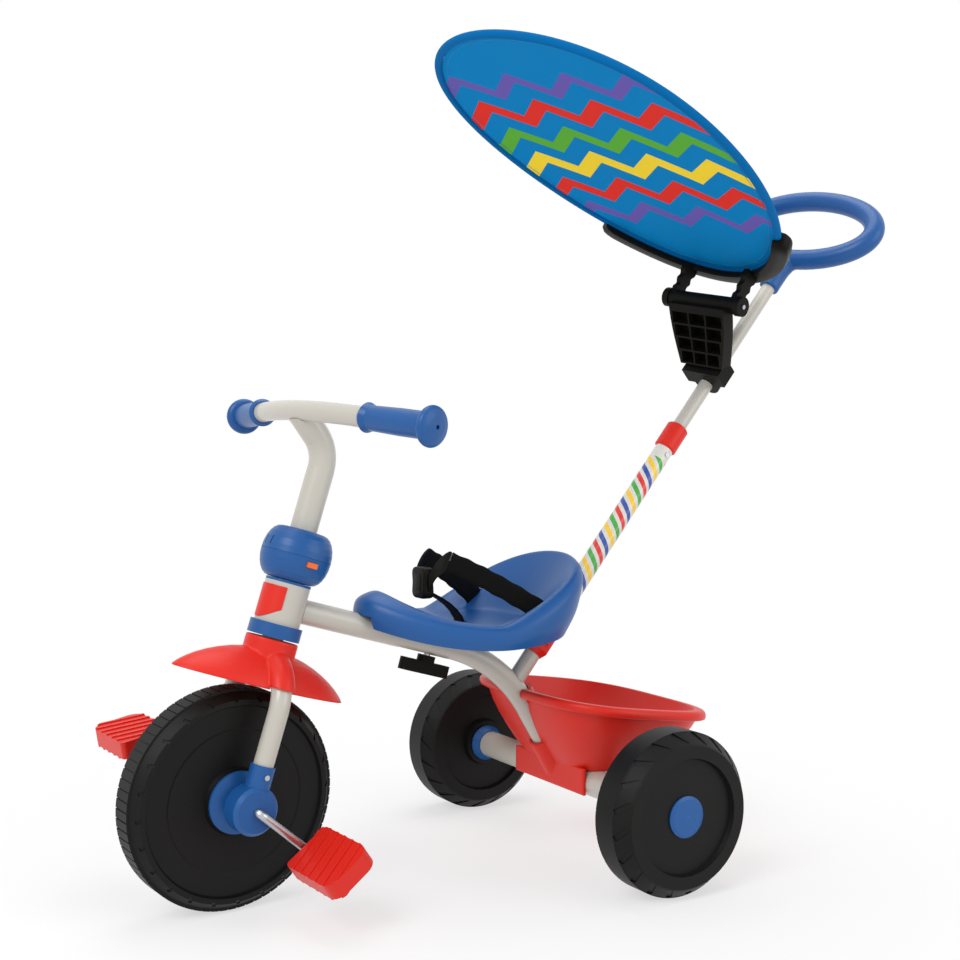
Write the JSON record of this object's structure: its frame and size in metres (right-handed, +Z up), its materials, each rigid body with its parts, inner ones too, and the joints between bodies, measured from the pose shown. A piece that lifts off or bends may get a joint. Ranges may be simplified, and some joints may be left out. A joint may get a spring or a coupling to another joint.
{
  "type": "toddler push along trike",
  "caption": "Toddler pedal trike with a parent push pole, tilting oval sun canopy, sliding bucket seat with lap harness, rear basket and steered front wheel.",
  "frame": {"origin": "on the ground under the middle of the rear axle", "axes": "+X forward, +Y to the rider's left, +Z up"},
  "size_m": [1.0588, 0.5639, 0.9779],
  "materials": {
    "white_paint": "gloss enamel",
    "blue_plastic": "satin moulded",
    "red_plastic": "satin moulded",
    "black_plastic": "satin moulded",
    "wheel_black": "fine grained",
    "orange_plastic": "gloss",
    "steel": "zinc plated",
    "webbing": "woven",
    "canopy_blue": "woven, printed",
    "hoop_blue": "satin"
  },
  "bodies": {
    "frame": {"head_tube": "white_paint", "head_badge": "red_plastic", "main_tube": "white_paint", "lower_tube": "white_paint", "pole_spigot": "white_paint", "rear_axle_tube": "white_paint", "rear_axle_rod": "steel", "axle_bush_left": "blue_plastic", "axle_bush_right": "blue_plastic", "axle_nuts": "steel", "upper_steering_bush": "blue_plastic", "lower_steering_ring": "blue_plastic", "pole_clip": "red_plastic", "lower_pole": "white_paint", "pole_collar": "red_plastic", "collar_screw": "steel", "basket": "red_plastic"},
    "pole_release": {"pole_release_button": "red_plastic"},
    "seat": {"seat_shell": "blue_plastic", "seat_bolt": "steel", "lap_strap_left": "webbing", "lap_strap_right": "webbing", "crotch_strap": "webbing", "buckle_socket": "black_plastic", "buckle_tongues": "black_plastic"},
    "seat_clamp": {"seat_knob": "black_plastic"},
    "push_pole": {"upper_pole": "white_paint", "push_handle": "blue_plastic"},
    "bracket": {"canopy_bracket": "black_plastic", "hinge_pins": "steel", "hinge_knobs": "black_plastic"},
    "canopy": {"canopy_cradle": "black_plastic", "canopy_hoop": "hoop_blue", "canopy_cloth": "canopy_blue"},
    "steering": {"fork": "white_paint", "mudguard": "red_plastic", "fork_end_left": "blue_plastic", "fork_end_right": "blue_plastic", "fork_end_screws": "steel", "cover_upper": "blue_plastic", "cover_lower": "blue_plastic", "stem": "white_paint", "handlebar": "white_paint", "grip_left": "blue_plastic", "grip_right": "blue_plastic"},
    "cover_release": {"release_button": "orange_plastic"},
    "front_drive": {"front_wheel": "wheel_black", "hub_flange_left": "blue_plastic", "hub_flange_right": "blue_plastic", "crank_axle": "steel"},
    "left_pedal": {"pedal_left": "red_plastic"},
    "right_pedal": {"pedal_right": "red_plastic"},
    "left_rear_wheel": {"rear_wheel_left": "wheel_black", "hub_cap_left": "blue_plastic"},
    "right_rear_wheel": {"rear_wheel_right": "wheel_black", "hub_cap_right": "blue_plastic"}
  },
  "joints": [
    {"name": "steering_turn", "type": "hinge", "parent": "frame", "child": "steering", "pos_m": [0.38547, 0, 0.34451], "axis": [-0.304, 0, 0.9527], "range_deg": [-51, 39]},
    {"name": "cover_release_press", "type": "slide", "parent": "steering", "child": "cover_release", "axis": [0.0996, -0.9945, 0.0318], "range_m": [0, 0.0025], "stiffness_N_per_m": 400},
    {"name": "front_wheel_spin", "type": "hinge", "parent": "steering", "child": "front_drive", "pos_m": [0.4554, 0, 0.1254], "axis": [-0.0996, 0.9945, -0.0318], "continuous": true},
    {"name": "left_pedal_spin", "type": "hinge", "parent": "front_drive", "child": "left_pedal", "pos_m": [0.3862, 0.11203, 0.07214], "axis": [-0.0996, 0.9945, -0.0318], "continuous": true},
    {"name": "right_pedal_spin", "type": "hinge", "parent": "front_drive", "child": "right_pedal", "pos_m": [0.5246, -0.11203, 0.17865], "axis": [-0.0996, 0.9945, -0.0318], "continuous": true},
    {"name": "left_rear_wheel_spin", "type": "hinge", "parent": "frame", "child": "left_rear_wheel", "pos_m": [0, 0.2219, 0.0958], "axis": [0, 1, 0], "continuous": true},
    {"name": "right_rear_wheel_spin", "type": "hinge", "parent": "frame", "child": "right_rear_wheel", "pos_m": [0, -0.2219, 0.0958], "axis": [0, 1, 0], "continuous": true},
    {"name": "seat_slide", "type": "slide", "parent": "frame", "child": "seat", "axis": [0.9593, 0, 0.2823], "range_m": [0, 0.04]},
    {"name": "seat_clamp_turn", "type": "hinge", "parent": "seat", "child": "seat_clamp", "pos_m": [0.19473, 0, 0.27795], "axis": [-0.2823, 0, 0.9593], "range_deg": [-180, 180]},
    {"name": "pole_release_press", "type": "slide", "parent": "frame", "child": "pole_release", "axis": [0, -1, 0], "range_m": [0, 0.0015], "stiffness_N_per_m": 300},
    {"name": "pole_slide", "type": "slide", "parent": "frame", "child": "push_pole", "axis": [-0.6347, 0, 0.7727], "range_m": [-0.06, 0]},
    {"name": "bracket_swivel", "type": "hinge", "parent": "push_pole", "child": "bracket", "pos_m": [-0.24817, 0, 0.60985], "axis": [-0.6347, 0, 0.7727], "range_deg": [-61, 29]},
    {"name": "canopy_tilt", "type": "hinge", "parent": "bracket", "child": "canopy", "pos_m": [-0.21337, 0.02563, 0.70832], "axis": [-0.213, 0.9613, -0.175], "range_deg": [-20, 25]}
  ]
}
